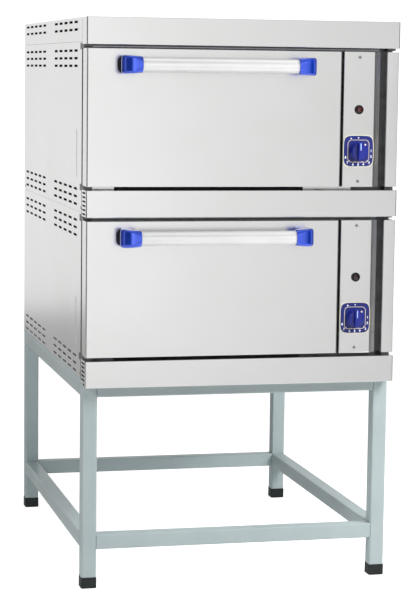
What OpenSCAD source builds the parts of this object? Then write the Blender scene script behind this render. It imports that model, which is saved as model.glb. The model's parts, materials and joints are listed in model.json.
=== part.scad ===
// Two-deck electric roasting oven with drop-down doors, standing on an open square-tube stand.
// X runs to the right, Y from the front to the back and Z up, in millimetres.
// The origin is on the floor, under the middle of the closed oven's overall box.
// Inside the modules, y = 0 is the front plane of the closed doors and the bands.

/* [Body] */
// Width over the three front bands
body_w = 840; // [800:10:880]
// Depth from the doors' front to the back edge of the side panels
body_d = 1100; // [1050:10:1150]
// Thickness of the stainless sheet
sheet = 1.5; // [1:0.5:2]
// Height of each front band
band_h = 70; // [64:2:80]
// Height of the bay between two bands, which holds one door
bay_h = 374; // [374:2:390]
// Depth of the bands, doors and control column in front of the front frame
front_depth = 63; // [63:1:66]
// Distance that the lowest band hangs below the top of the stand
band_drop = 9; // [5:1:12]
// Height of the roof's skirt
roof_skirt = 63; // [60:1:66]

/* [Stand] */
// Height of the stand
stand_h = 552; // [450:2:650]
// Outside width of the square tube
tube_w = 40; // [30:5:45]
// Wall of the square tube
tube_wall = 2; // [1.5:0.5:3]
// Height of the lower rails' underside above the floor
lower_rail_z = 105; // [80:5:150]
// Distance of the front legs behind the doors' front
leg_setback = 43; // [40:1:60]
// Height of a foot cap
foot_h = 30; // [24:2:40]

/* [Doors] */
// Width of a door
door_w = 680; // [670:1:682]
// Gap above and below a door
door_gap = 9.5; // [9:0.5:10]
// Distance of the hinge axis behind the door's front
hinge_y = 15; // [14:1:16]
// Height of the hinge axis above the door's lower edge
hinge_rise = 12; // [12:1:14]
// Radius of a hinge pin
pin_r = 4; // [3:0.5:4.5]
// Radial clearance of the hinge pin in its bracket
pin_clearance = 0.05; // [0.02:0.01:0.1]
// Distance of each hinge from the middle of the door
hinge_spread = 300; // [296:1:302]

/* [Handles] */
// Reach of the handle in front of the door
handle_reach = 68; // [60:1:80]
// Radius of the handle's tube
bar_r = 18.5; // [15:0.5:19]
// Overall length over the two end brackets
handle_w = 516; // [480:4:560]
// Height of the handle's middle above the bay's lower edge
handle_rise = 323.5; // [310:0.5:326]

/* [Controls] */
// Height of the knob's middle above the bay's lower edge
knob_rise = 104; // [90:1:130]
// Height of the pilot lamp's middle above the bay's lower edge
lamp_rise = 213; // [190:1:240]
// Width and height of the dial plate
dial_w = 84; // [70:1:84]
// Radius of the knob's skirt
knob_r = 25; // [20:1:28]

/* [Chamber] */
// Inside width of the baking chamber
chamber_w = 538; // [520:2:540]
// Inside depth of the baking chamber
chamber_d = 780; // [700:10:820]
// Inside height of the baking chamber
chamber_h = 290; // [280:2:290]
// Thickness of the mineral wool round the chamber
wool = 45; // [30:5:45]

/* [Hidden] */
$fn = 64;
LEVELS = [0, 1];
LEVEL_NAMES = ["lower", "upper"];
SIDES = [-1, 1];
SIDE_NAMES = ["left", "right"];

// Frame of the whole oven
front_y = handle_reach - (body_d + handle_reach) / 2;
section_h = band_h + bay_h;
bay_zs = [for (level = LEVELS) stand_h - band_drop + band_h + level * section_h];
total_h = bay_zs[1] + bay_h + band_h;
panel_x = body_w / 2 - 1;
inner_x = panel_x - sheet;
pan_h = 8;
pan_zs = [for (level = LEVELS) stand_h + level * section_h];
skirt_z = total_h - roof_skirt;
seam = 0.5;
frame_t = 2;
frame_y = front_depth + frame_t;
mid_z = bay_zs[1] - band_h / 2;
back_y = body_d - 14;
flange_w = 15;

// Stand: middles of the legs and of the rails
leg_x = panel_x - tube_w / 2;
leg_y0 = leg_setback + tube_w / 2;
leg_y1 = body_d - tube_w / 2 - 1;
rail_zs = [lower_rail_z + tube_w / 2, stand_h - tube_w / 2];
foot_floor = 6;

// Vent slots of the side panels
slot_l = 50;
slot_h = 6.5;
slot_pitch = 81.5;
slot_starts = [167, 702];
slot_ys = [for (start = slot_starts, i = [0:4]) start + i * slot_pitch];
slot_rises = [-43.5, -23.5, -3.5, 318.5, 338.5, 358.5];
roof_slot_drops = [11, 31];
band_slot_l = 46;
band_slot_h = 5;
band_slot_pitch = 11;

// Doors
door_x = 1 - body_w / 2;
door_mid = door_x + door_w / 2;
door_h = bay_h - 2 * door_gap;
door_rim = 58.5;
liner_face = 60;
hinge_xs = [door_mid - hinge_spread, door_mid + hinge_spread];
eye_r = 8;
eye_t = 6;
lug_t = 3;
lug_gap = 0.6;
notch_w = 14;
notch_front = 6;
notch_top = hinge_rise + eye_r + 1.5;
hinge_block_w = 20;
hinge_block_z = notch_top + 2.5;
hinge_block_h = 20;
hinge_block_d = 20;

// Handles
handle_x = door_mid;
bar_y = -handle_reach + 2.5 + bar_r;
bracket_w = 52;
bracket_h = 50;
bracket_end_h = 42;
bracket_root_w = 34;
socket_l = 22;
bar_l = handle_w - 2 * (bracket_w - socket_l);
bar_wall = 1.5;

// Control column and trim post
column_gap = 5;
column_x = door_x + door_w + column_gap;
column_face_w = 85;
column_slope_w = 19;
column_slope_d = 12;
column_mid = column_x + 43;
post_x0 = body_w / 2 - 35;
post_x1 = body_w / 2 - 3;
spindle_r = 3;
dial_t = 1.5;
dial_r = 8;
knob_y = -2;
knob_base = 6;
knob_grip_y = -24;
screw_r = 4.5;
screw_t = 1.8;
panel_screw_rises = [24, 350];
lamp_r = 12.25;
lamp_hole_r = 11;

// Chamber and what it holds
chamber_x = door_mid;
chamber_rise = 42;
gasket_gap = 2;
gasket_w = 10;
gasket_t = 2.6;
heater_r = 4;
heater_hole_r = 4.3;
heater_bend = 60;
heater_spread = 135;
heater_inset = 15;
heater_front = frame_y + 80;
heater_tail = 34;
heater_rises = [heater_inset, chamber_h - heater_inset];
guide_w = 15;
guide_t = 2;
guide_rises = [60, 150];
tray_w = 530;
tray_l = 470;
tray_h = 25;
seal_x0 = -332;
seal_x1 = 170;
seal_y0 = 45;
seal_y1 = 61;

// Back of the lower deck
gland_x = 300;
gland_z = stand_h + 75;
gland_bore_r = 6.5;
gland_neck_r = 10;

LEVEL_PARTS = ["base_pan", "side_panel_left", "side_panel_right", "back_panel", "front_frame",
    "chamber", "insulation", "heaters", "control_panel", "thermostat", "pilot_lamp", "knob",
    "knob_spindle", "door_skin", "door_liner", "door_insulation", "handle_bar",
    "handle_brackets", "door_hinges"];
SHARED_PARTS = ["leg_front_left", "leg_front_right", "leg_back_left", "leg_back_right",
    "cross_rails", "side_rails", "foot_caps", "bottom_band", "middle_band", "top_band",
    "roof_panel", "access_covers", "corner_brackets", "trim_posts", "hinge_brackets",
    "rack_guides", "baking_trays", "gaskets", "dial_plates", "panel_screws", "cable_gland",
    "terminal_block"];

steel = [0.86, 0.86, 0.86];
dark_steel = [0.35, 0.35, 0.36];
enamel = [0.72, 0.77, 0.77];
black = [0.08, 0.1, 0.1];
blue = [0.08, 0.13, 0.7];
white = [0.93, 0.93, 0.93];
wool_tone = [0.8, 0.76, 0.55];

// ---- Helpers ----

// Moves from the doors' front plane to the oven's own frame
module at_front() {
    translate([0, front_y, 0]) children();
}

// A box between its lowest and its highest corner
module block(low, high) {
    translate(low) cube(high - low);
}

// Extrudes an outline drawn in Y and Z along X
module along_x(length) {
    rotate([90, 0, 90]) linear_extrude(length) children();
}

// Extrudes an outline drawn in X and Z from y = 0 towards the front
module towards_front(length) {
    rotate([90, 0, 0]) linear_extrude(length) children();
}

// A centred rectangle with round corners
module rounded_square(w, h, r) {
    square([w - 2 * r, h], center = true);
    square([w, h - 2 * r], center = true);
    for (x = SIDES, y = SIDES) translate([x * (w / 2 - r), y * (h / 2 - r)]) circle(r);
}

// Outline of one vent slot with round ends
module slot_outline(length, height) {
    square([length - height, height], center = true);
    for (side = SIDES) translate([side * (length - height) / 2, 0]) circle(d = height);
}

// Rows of vent slots at the given heights, in the plane of a side panel
module slot_rows(heights) {
    for (y = slot_ys, z = heights) translate([y, z]) slot_outline(slot_l, slot_h);
}

// ---- Stand ----

// Section of the square tube
module tube_section() {
    difference() {
        rounded_square(tube_w, tube_w, 4);
        rounded_square(tube_w - 2 * tube_wall, tube_w - 2 * tube_wall, 2);
    }
}

// One leg; side is -1 for the left, and y is its middle
module leg(side, y) {
    color(enamel) at_front() translate([side * leg_x, y, foot_floor])
        linear_extrude(stand_h - foot_floor) tube_section();
}

// Front and back rails, at both heights
module cross_rails() {
    length = 2 * leg_x - tube_w;
    color(enamel) at_front() for (y = [leg_y0, leg_y1], z = rail_zs)
        translate([-length / 2, y, z]) along_x(length) tube_section();
}

// Left and right rails, at both heights
module side_rails() {
    length = leg_y1 - leg_y0 - tube_w;
    color(enamel) at_front() for (side = SIDES, z = rail_zs)
        translate([side * leg_x, leg_y0 + tube_w / 2 + length, z])
            rotate([90, 0, 0]) linear_extrude(length) tube_section();
}

// Four moulded caps, each a socket round the end of a leg
module foot_caps() {
    cap_w = tube_w + 2;
    color(black) at_front() for (side = SIDES, y = [leg_y0, leg_y1])
        translate([side * leg_x, y, 0]) difference() {
            linear_extrude(foot_h) rounded_square(cap_w, cap_w, 4);
            translate([0, 0, foot_floor])
                linear_extrude(foot_h) rounded_square(tube_w, tube_w, 4);
        }
}

// ---- Shell ----

// One folded front band: a box with its back open, z is its lower edge
module band(z) {
    difference() {
        block([-body_w / 2, 0, z], [body_w / 2, front_depth, z + band_h]);
        block([sheet - body_w / 2, sheet, z + sheet],
            [body_w / 2 - sheet, front_depth + 1, z + band_h - sheet]);
    }
}

// A band whose side returns have six vent slots each
module vented_band(z) {
    difference() {
        band(z);
        translate([-body_w, front_depth / 2, z + band_h / 2]) along_x(2 * body_w)
            for (i = [-2.5:1:2.5]) translate([0, i * band_slot_pitch])
                slot_outline(band_slot_l, band_slot_h);
    }
}

// The lowest band hangs in front of the stand, so it is cut away round the front legs and rail
module bottom_band() {
    color(steel) at_front() difference() {
        vented_band(bay_zs[0] - band_h);
        block([-body_w, leg_setback, 0], [body_w, front_depth + 1, stand_h]);
    }
}

module middle_band() {
    color(steel) at_front() vented_band(bay_zs[1] - band_h);
}

module top_band() {
    color(steel) at_front() band(total_h - band_h);
}

// Roof sheet with a skirt at the sides and the back; the side skirts have vent slots
module roof_panel() {
    color(steel) at_front() difference() {
        block([-panel_x, front_depth, skirt_z], [panel_x, body_d, total_h]);
        block([-inner_x, front_depth - 1, skirt_z - 1],
            [inner_x, body_d - sheet, total_h - sheet]);
        translate([-body_w, 0, 0]) along_x(2 * body_w)
            slot_rows([for (drop = roof_slot_drops) total_h - drop]);
    }
}

// Floor tray of one deck; the upper one sits between the side panels
module base_pan(level) {
    z = pan_zs[level];
    half_w = level == 0 ? panel_x : inner_x;
    y0 = level == 0 ? front_depth : frame_y;
    y1 = level == 0 ? body_d : back_y;
    color(level == 0 ? enamel : steel) at_front() difference() {
        block([-half_w, y0, z], [half_w, y1, z + pan_h]);
        block([sheet - half_w, y0 + sheet, z + sheet],
            [half_w - sheet, y1 - sheet, z + pan_h + 1]);
    }
}

// One slotted side panel with a flange that the back panel is screwed to
module side_panel(level, side) {
    z0 = level == 0 ? stand_h + pan_h : pan_zs[1] + seam;
    z1 = level == 0 ? pan_zs[1] : skirt_z - seam;
    flange_z = level == 0 ? z0 : pan_zs[1] + pan_h;
    x0 = side < 0 ? -panel_x : inner_x;
    flange_x = side < 0 ? -inner_x : inner_x - flange_w;
    color(steel) at_front() {
        difference() {
            block([x0, front_depth, z0], [x0 + sheet, body_d, z1]);
            translate([x0 - 1, 0, 0]) along_x(sheet + 2)
                slot_rows([for (rise = slot_rises) bay_zs[level] + rise]);
        }
        block([flange_x, back_y + sheet, flange_z],
            [flange_x + flange_w, back_y + 2 * sheet, z1]);
    }
}

// Recessed back panel of one deck; the lower one has the hole for the cable gland
module back_panel(level) {
    z0 = pan_zs[level] + pan_h;
    z1 = level == 0 ? pan_zs[1] - seam : total_h - sheet;
    color(steel) at_front() difference() {
        block([-inner_x, back_y, z0], [inner_x, back_y + sheet, z1]);
        if (level == 0) translate([gland_x, back_y + sheet + 1, gland_z])
            towards_front(sheet + 2) circle(gland_neck_r + 0.1);
    }
}

// Plate behind the door and the control column, with the chamber's opening
module front_frame(level) {
    z0 = level == 0 ? stand_h + pan_h : mid_z;
    z1 = level == 0 ? mid_z : total_h - sheet;
    mouth_z = bay_zs[level] + chamber_rise;
    color(dark_steel) at_front() difference() {
        block([-inner_x, front_depth, z0], [inner_x, frame_y, z1]);
        block([chamber_x - chamber_w / 2, front_depth - 1, mouth_z],
            [chamber_x + chamber_w / 2, frame_y + 1, mouth_z + chamber_h]);
    }
}

// Two small plates that close the adjusting holes in the left side panels
module access_covers() {
    cover_y = [150, 265];
    cover_rise = [28, 152];
    color(steel) at_front() for (z = bay_zs)
        block([-panel_x - 0.8, cover_y[0], z + cover_rise[0]],
            [-panel_x, cover_y[1], z + cover_rise[1]]);
}

// One angle in the gap at a bay's corner, for the left side: a block and a tab round the edge
module corner_bracket(z0, z1, tab_z0, tab_z1) {
    block([-body_w / 2, 38, z0], [-body_w / 2 + 23, front_depth, z1]);
    block([-body_w / 2, front_depth, tab_z0], [-panel_x, front_depth + 32, tab_z1]);
    block([-body_w / 2, 60, z0], [-panel_x, front_depth + 1, z1]);
}

// Eight angles, at the four corners of each bay
module corner_brackets() {
    tab_h = 17;
    color(dark_steel) at_front() for (z = bay_zs, side = SIDES)
        mirror([side < 0 ? 0 : 1, 0, 0]) {
            corner_bracket(z, z + door_gap - 0.5, z - 4, z - 4 + tab_h);
            corner_bracket(z + bay_h - door_gap + 4, z + bay_h, z + bay_h + 4 - tab_h,
                z + bay_h + 4);
        }
}

// A folded post at the right edge of each bay, open at the back
module trim_posts() {
    color(steel) at_front() for (z = bay_zs) difference() {
        block([post_x0, 0, z + door_gap], [post_x1, front_depth, z + bay_h - door_gap]);
        block([post_x0 + sheet, sheet, z + door_gap + sheet],
            [post_x1 - sheet, front_depth + 1, z + bay_h - door_gap - sheet]);
    }
}

// ---- Chamber ----

// Rods along Y at every heater leg, from y0 to y1, in the chamber of one level
module heater_legs(level, r, y0, y1) {
    for (spread = SIDES, leg = SIDES, rise = heater_rises)
        translate([chamber_x + spread * heater_spread + leg * heater_bend, y1,
            bay_zs[level] + chamber_rise + rise])
            rotate([90, 0, 0]) cylinder(r = r, h = y1 - y0);
}

// The chamber's outer box, made larger all round except at its mouth
module chamber_box(level, grow) {
    z = bay_zs[level] + chamber_rise;
    block([chamber_x - chamber_w / 2 - grow, frame_y, z - grow],
        [chamber_x + chamber_w / 2 + grow, frame_y + chamber_d + grow, z + chamber_h + grow]);
}

// Enamelled chamber, open at the front, with a hole for each heater leg
module chamber(level) {
    color(dark_steel) at_front() difference() {
        chamber_box(level, sheet);
        translate([0, -1, 0]) chamber_box(level, 0);
        block([chamber_x - chamber_w / 2, frame_y, bay_zs[level] + chamber_rise],
            [chamber_x + chamber_w / 2, frame_y + chamber_d,
                bay_zs[level] + chamber_rise + chamber_h]);
        heater_legs(level, heater_hole_r, frame_y + chamber_d - 1, frame_y + chamber_d + 9);
    }
}

// Mineral wool round the chamber
module insulation(level) {
    color(wool_tone) at_front() difference() {
        chamber_box(level, sheet + wool);
        translate([0, -1, 0]) chamber_box(level, sheet);
        chamber_box(level, sheet);
        heater_legs(level, heater_hole_r, frame_y + chamber_d, frame_y + chamber_d + 99);
    }
}

// Four U-shaped heating rods, two under the roof and two over the floor
module heaters(level) {
    tail_y = frame_y + chamber_d + sheet + wool + heater_tail;
    color(dark_steel) at_front() {
        heater_legs(level, heater_r, heater_front, tail_y);
        for (spread = SIDES, rise = heater_rises)
            translate([chamber_x + spread * heater_spread, heater_front,
                bay_zs[level] + chamber_rise + rise])
                rotate([0, 0, 180]) rotate_extrude(angle = 180)
                    translate([heater_bend, 0]) circle(heater_r);
    }
}

// Angle strips that carry the trays, two heights on both walls of each chamber
module rack_guides() {
    wall = chamber_w / 2;
    y0 = frame_y + 10;
    y1 = frame_y + chamber_d - 10;
    color(steel) at_front() for (z = bay_zs, side = SIDES, rise = guide_rises)
        translate([chamber_x, 0, z + chamber_rise + rise]) mirror([side < 0 ? 0 : 1, 0, 0]) {
            block([-wall, y0, 0], [guide_w - wall, y1, guide_t]);
            block([-wall, y0, guide_t - guide_w], [guide_t - wall, y1, guide_t]);
        }
}

// One tray on the lower guides of each chamber
module baking_trays() {
    y0 = frame_y + 10;
    color(dark_steel) at_front() for (z = bay_zs)
        translate([chamber_x, y0, z + chamber_rise + guide_rises[0] + guide_t]) difference() {
            block([-tray_w / 2, 0, 0], [tray_w / 2, tray_l, tray_h]);
            block([sheet - tray_w / 2, sheet, sheet],
                [tray_w / 2 - sheet, tray_l - sheet, tray_h + 1]);
        }
}

// A flat ring of gasket round each chamber's mouth, and a strip that closes the gap below the door
module gaskets() {
    inner = gasket_gap;
    outer = gasket_gap + gasket_w;
    half = chamber_w / 2;
    color(black) at_front() for (z = bay_zs) {
        mouth_z = z + chamber_rise;
        difference() {
            block([chamber_x - half - outer, front_depth - gasket_t, mouth_z - outer],
                [chamber_x + half + outer, front_depth, mouth_z + chamber_h + outer]);
            block([chamber_x - half - inner, front_depth - gasket_t - 1, mouth_z - inner],
                [chamber_x + half + inner, front_depth + 1, mouth_z + chamber_h + inner]);
        }
        block([seal_x0, seal_y0, z], [seal_x1, seal_y1, z + door_gap - 0.7]);
    }
}

// ---- Doors ----

// The space that a hinge bracket's arm needs in the lower back edge of a door
module hinge_notches(z) {
    for (x = hinge_xs)
        block([x - notch_w / 2, notch_front, z - 1],
            [x + notch_w / 2, liner_face + 1, z + notch_top]);
}

// Outer shell of a door: a face with four returns, open at the back
module door_skin(level) {
    z = bay_zs[level] + door_gap;
    color(steel) at_front() difference() {
        block([door_x, 0, z], [door_x + door_w, door_rim, z + door_h]);
        block([door_x + sheet, sheet, z + sheet],
            [door_x + door_w - sheet, door_rim + 1, z + door_h - sheet]);
        hinge_notches(z);
    }
}

// Inner panel of a door, with a raised field opposite the chamber
module door_liner(level) {
    z = bay_zs[level] + door_gap;
    border = 30;
    color(steel) at_front() difference() {
        union() {
            block([door_x + sheet, door_rim - sheet, z + sheet],
                [door_x + door_w - sheet, door_rim, z + door_h - sheet]);
            block([door_x + border, door_rim, z + border],
                [door_x + door_w - border, liner_face, z + door_h - border]);
        }
        hinge_notches(z);
    }
}

// Mineral wool inside a door, cut away for the hinges
module door_insulation(level) {
    z = bay_zs[level] + door_gap;
    space = 0.5;
    color(wool_tone) at_front() difference() {
        block([door_x + sheet, sheet, z + sheet],
            [door_x + door_w - sheet, door_rim - sheet, z + door_h - sheet]);
        hinge_notches(z);
        for (x = hinge_xs)
            block([x - hinge_block_w / 2 - space, 0, z],
                [x + hinge_block_w / 2 + space, sheet + hinge_block_d + space + 2,
                    z + hinge_block_z + hinge_block_h + space]);
    }
}

// Two forks with their pins, fixed inside a door
module door_hinges(level) {
    z = bay_zs[level] + door_gap;
    lug_x = eye_t / 2 + lug_gap;
    color(dark_steel) at_front() for (x = hinge_xs) translate([x, 0, z]) {
        block([-hinge_block_w / 2, sheet, hinge_block_z],
            [hinge_block_w / 2, sheet + hinge_block_d, hinge_block_z + hinge_block_h]);
        for (side = SIDES)
            translate([side * (lug_x + lug_t / 2) - lug_t / 2, hinge_y, hinge_rise]) along_x(lug_t) {
                circle(eye_r);
                translate([-eye_r, 0]) square([eye_r + 6, hinge_block_z - hinge_rise]);
            }
        translate([-lug_x - lug_t, hinge_y, hinge_rise])
            along_x(2 * (lug_x + lug_t)) circle(pin_r);
    }
}

// Four arms that reach forward from the front frames and carry the pins
module hinge_brackets() {
    color(dark_steel) at_front() for (bay_z = bay_zs, x = hinge_xs)
        translate([x - eye_t / 2, hinge_y, bay_z + door_gap + hinge_rise])
            along_x(eye_t) difference() {
                union() {
                    circle(eye_r);
                    translate([0, -eye_r]) square([front_depth - hinge_y, 2 * eye_r]);
                }
                circle(pin_r + pin_clearance);
            }
}

// Round tube of a handle
module handle_bar(level) {
    color(white) at_front()
        translate([handle_x - bar_l / 2, bar_y, bay_zs[level] + handle_rise])
            along_x(bar_l) difference() {
                circle(bar_r);
                circle(bar_r - bar_wall);
            }
}

// Plan of the left bracket, with x = 0 at its outer end
module bracket_plan() {
    corner_r = 18;
    depth = 2 * bar_r + 5;
    translate([corner_r, -handle_reach]) square([bracket_w - corner_r, depth]);
    translate([0, corner_r - handle_reach]) square([bracket_w, depth - corner_r]);
    translate([corner_r, corner_r - handle_reach]) circle(corner_r);
    translate([0, depth - handle_reach - 1]) square([bracket_root_w, handle_reach - depth + 1]);
}

// Front view of the left bracket, which tapers towards the bar
module bracket_face() {
    corner_r = 8;
    h0 = bracket_h / 2;
    h1 = bracket_end_h / 2;
    polygon([[corner_r, h0], [0, h0 - corner_r], [0, corner_r - h0], [corner_r, -h0],
        [bracket_w, -h1], [bracket_w, h1]]);
    for (side = SIDES) translate([corner_r, side * (h0 - corner_r)]) circle(corner_r);
}

// Two elbow brackets with blind sockets that hold the bar's ends
module handle_brackets(level) {
    color(blue) at_front() translate([handle_x, 0, bay_zs[level] + handle_rise])
        for (side = SIDES) mirror([side < 0 ? 0 : 1, 0, 0]) translate([-handle_w / 2, 0, 0])
            difference() {
                intersection() {
                    translate([0, 0, -bracket_h / 2]) linear_extrude(bracket_h) bracket_plan();
                    towards_front(handle_reach + 1) bracket_face();
                }
                translate([bracket_w - socket_l, bar_y, 0])
                    along_x(socket_l + 1) circle(bar_r + 0.05);
            }
}

// ---- Controls ----

// Plan of the control column; grow moves every face outwards
module column_plan(grow) {
    x0 = column_x - grow;
    x1 = column_x + column_face_w;
    x2 = x1 + column_slope_w;
    polygon([[x0, front_depth + 1], [x0, -grow], [x1 + 0.3 * grow, -grow],
        [x2 + grow, column_slope_d - 0.5 * grow], [x2 + grow, front_depth + 1]]);
}

// Control column: a folded face with a sloping right edge, closed at both ends
module control_panel(level) {
    z0 = bay_zs[level] + door_gap;
    z1 = bay_zs[level] + bay_h - door_gap;
    color(steel) at_front() difference() {
        translate([0, 0, z0]) linear_extrude(z1 - z0) column_plan(0);
        translate([0, 0, z0 + sheet]) linear_extrude(z1 - z0 - 2 * sheet) column_plan(-sheet);
        block([column_x - 1, front_depth, z0 - 1], [post_x0, front_depth + 2, z1 + 1]);
        translate([column_mid, sheet + 1, bay_zs[level] + knob_rise])
            towards_front(sheet + 2) circle(spindle_r + 1);
        translate([column_mid, sheet + 1, bay_zs[level] + lamp_rise])
            towards_front(sheet + 2) circle(lamp_hole_r);
    }
}

// Rounded square plates behind the two knobs
module dial_plates() {
    color(blue) at_front() for (z = bay_zs) translate([column_mid, 0, z + knob_rise])
        towards_front(dial_t) difference() {
            rounded_square(dial_w, dial_w, dial_r);
            circle(spindle_r + 1);
        }
}

// Thermostat behind the control column, whose bush carries the knob's spindle
module thermostat(level) {
    body_half = 22;
    body_y0 = 12;
    body_y1 = 40;
    color(white) at_front() translate([column_mid, 0, bay_zs[level] + knob_rise]) difference() {
        union() {
            translate([0, body_y0, 0]) towards_front(body_y0 - sheet) circle(7);
            block([-body_half, body_y0, -body_half], [body_half, body_y1, body_half]);
        }
        translate([0, 33, 0]) towards_front(33) circle(spindle_r + 0.06);
    }
}

// Spindle that joins the knob to the thermostat
module knob_spindle(level) {
    color(steel) at_front() translate([column_mid, 30, bay_zs[level] + knob_rise])
        towards_front(46) circle(spindle_r);
}

// Knob: a skirt, a narrower body and a grip ridge, on a blind bore
module knob(level) {
    grip_r = knob_r - 4;
    grip_base = 13;
    ridge_w = 12;
    color(blue) at_front() translate([column_mid, knob_y, bay_zs[level] + knob_rise])
        difference() {
            union() {
                towards_front(knob_base) circle(knob_r);
                towards_front(grip_base) circle(grip_r);
                towards_front(knob_y - knob_grip_y) intersection() {
                    circle(knob_r - 1);
                    square([ridge_w, 2 * knob_r], center = true);
                }
            }
            translate([0, 1, 0]) towards_front(15.5) circle(spindle_r + 0.02);
        }
}

// Pilot lamp: bezel, domed lens and the barrel behind the panel
module pilot_lamp(level) {
    color(black) at_front() translate([column_mid, 0, bay_zs[level] + lamp_rise]) {
        towards_front(3.5) circle(lamp_r);
        towards_front(6) circle(8);
        translate([0, 24, 0]) towards_front(24) circle(lamp_hole_r - 0.2);
    }
}

// ---- Small parts ----

// Head of one screw, standing towards the front
module front_screw() {
    towards_front(screw_t) circle(screw_r);
}

// Screw heads on the control columns, side panels and back panels
module panel_screws() {
    side_ys = [82, body_d - 30];
    back_xs = [8 - inner_x, 0, inner_x - 8];
    color(steel) at_front() {
        for (z = bay_zs, rise = panel_screw_rises)
            translate([column_mid, 0, z + rise]) front_screw();
        for (z = [stand_h + pan_h + 12, pan_zs[1] + 12], y = side_ys, side = SIDES)
            translate([side < 0 ? -panel_x - 1 : panel_x, y, z]) along_x(1) circle(screw_r);
        for (level = LEVELS, x = back_xs, rise = [30, section_h - 30])
            translate([x, back_y + (x == 0 ? 1 : 2) * sheet, pan_zs[level] + rise])
                rotate([0, 0, 180]) front_screw();
    }
}

// Cable gland in the lower back panel, with a through bore for the supply cable
module cable_gland() {
    neck_l = 16;
    color(black) at_front() translate([gland_x, back_y + sheet, gland_z]) difference() {
        union() {
            translate([0, 4, 0]) towards_front(4) circle(r = 17, $fn = 6);
            translate([0, 11, 0]) towards_front(8) circle(13);
            towards_front(neck_l + 0.5) circle(gland_neck_r);
        }
        translate([0, 12, 0]) towards_front(neck_l + 14) circle(gland_bore_r);
    }
}

// Five-way terminal block inside the lower back panel
module terminal_block() {
    ways = 5;
    way_w = 20;
    color(white) at_front() translate([gland_x - ways * way_w / 2, 0, gland_z + 50]) {
        block([0, back_y - 14, 0], [ways * way_w, back_y, 26]);
        for (i = [0:ways]) translate([i * (way_w - 0.4), 0, 0])
            block([0, back_y - 24, 0], [2, back_y, 26]);
    }
}

// ---- Assembly ----

leg(-1, leg_y0);  // leg_front_left
leg(1, leg_y0);  // leg_front_right
leg(-1, leg_y1);  // leg_back_left
leg(1, leg_y1);  // leg_back_right
cross_rails();
side_rails();
foot_caps();
bottom_band();
middle_band();
top_band();
roof_panel();
access_covers();
corner_brackets();
trim_posts();
hinge_brackets();
rack_guides();
baking_trays();
gaskets();
dial_plates();
panel_screws();
cable_gland();
terminal_block();

for (level = LEVELS) {
    deck = str(LEVEL_NAMES[level], "_");
    base_pan(level);
    for (i = [0, 1])
        side_panel(level, SIDES[i]);
    back_panel(level);
    front_frame(level);
    chamber(level);
    insulation(level);
    heaters(level);
    control_panel(level);
    thermostat(level);
    pilot_lamp(level);
    knob(level);
    knob_spindle(level);
    door_skin(level);
    door_liner(level);
    door_insulation(level);
    handle_bar(level);
    handle_brackets(level);
    door_hinges(level);
}
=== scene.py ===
"""Looks of a two-deck roasting oven on a square-tube stand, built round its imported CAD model.

Shapes are drawn in millimetres in the front frame: x to the right, y backwards from the plane of
the closed doors, z up from the floor. TO_FRAME turns them into the model's own frame in metres.
"""

import json
import math

import bmesh
import bpy
from mathutils import Matrix, Vector


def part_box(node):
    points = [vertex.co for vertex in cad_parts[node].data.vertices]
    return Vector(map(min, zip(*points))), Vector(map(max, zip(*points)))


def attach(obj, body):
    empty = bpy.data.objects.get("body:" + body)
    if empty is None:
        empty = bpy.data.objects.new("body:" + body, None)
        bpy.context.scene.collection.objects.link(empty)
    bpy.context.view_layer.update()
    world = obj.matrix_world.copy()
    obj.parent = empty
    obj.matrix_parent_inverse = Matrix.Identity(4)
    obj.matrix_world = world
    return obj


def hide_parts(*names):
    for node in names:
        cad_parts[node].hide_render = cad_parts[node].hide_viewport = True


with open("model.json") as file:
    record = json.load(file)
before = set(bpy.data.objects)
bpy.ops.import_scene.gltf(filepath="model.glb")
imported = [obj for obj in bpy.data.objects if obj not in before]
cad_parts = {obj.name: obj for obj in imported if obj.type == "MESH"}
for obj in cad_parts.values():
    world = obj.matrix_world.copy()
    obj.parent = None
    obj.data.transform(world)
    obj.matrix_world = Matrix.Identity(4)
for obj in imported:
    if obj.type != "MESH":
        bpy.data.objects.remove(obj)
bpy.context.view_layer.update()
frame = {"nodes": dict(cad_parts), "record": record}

scene = bpy.context.scene
MM = 0.001
FRONT_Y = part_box("top_band")[0].y
TO_FRAME = Matrix.Translation((0, FRONT_Y, 0)) @ Matrix.Diagonal((MM, MM, MM, 1))
TO_MM = TO_FRAME.inverted()

LEVELS = ("lower", "upper")
SIDES = (-1, 1)
OVEN = "oven_body"
# Height of the lower edge of each door bay, which lies this far below its door
DOOR_GAP = 9.5
BAY_Z = {level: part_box(level + "_door_skin")[0].z / MM - DOOR_GAP for level in LEVELS}
# From a bay's lower edge to the middle of the band below it
BAND_RISE = -35
# The line up the middle of the control columns
COLUMN_X = 309

FRONT = Vector((0, -1, 0))
BACK = Vector((0, 1, 0))
RIGHT = Vector((1, 0, 0))
LEFT = Vector((-1, 0, 0))

# ---------------------------------------------------------------- materials


def linear(hex_colour):
    """Turns an sRGB hex colour into linear RGBA."""
    values = []
    for i in (1, 3, 5):
        share = int(hex_colour[i:i + 2], 16) / 255
        values.append(share / 12.92 if share <= 0.04045 else ((share + 0.055) / 1.055) ** 2.4)
    return (*values, 1.0)


def add_node(tree, kind, settings=None, links=None):
    """Adds a node, sets its properties and sockets, and links outputs to its inputs."""
    made = tree.nodes.new(kind)
    for key, value in (settings or {}).items():
        if isinstance(key, str) and hasattr(made, key):
            setattr(made, key, value)
        else:
            made.inputs[key].default_value = value
    for key, output in (links or {}).items():
        tree.links.new(output, made.inputs[key])
    return made


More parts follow.
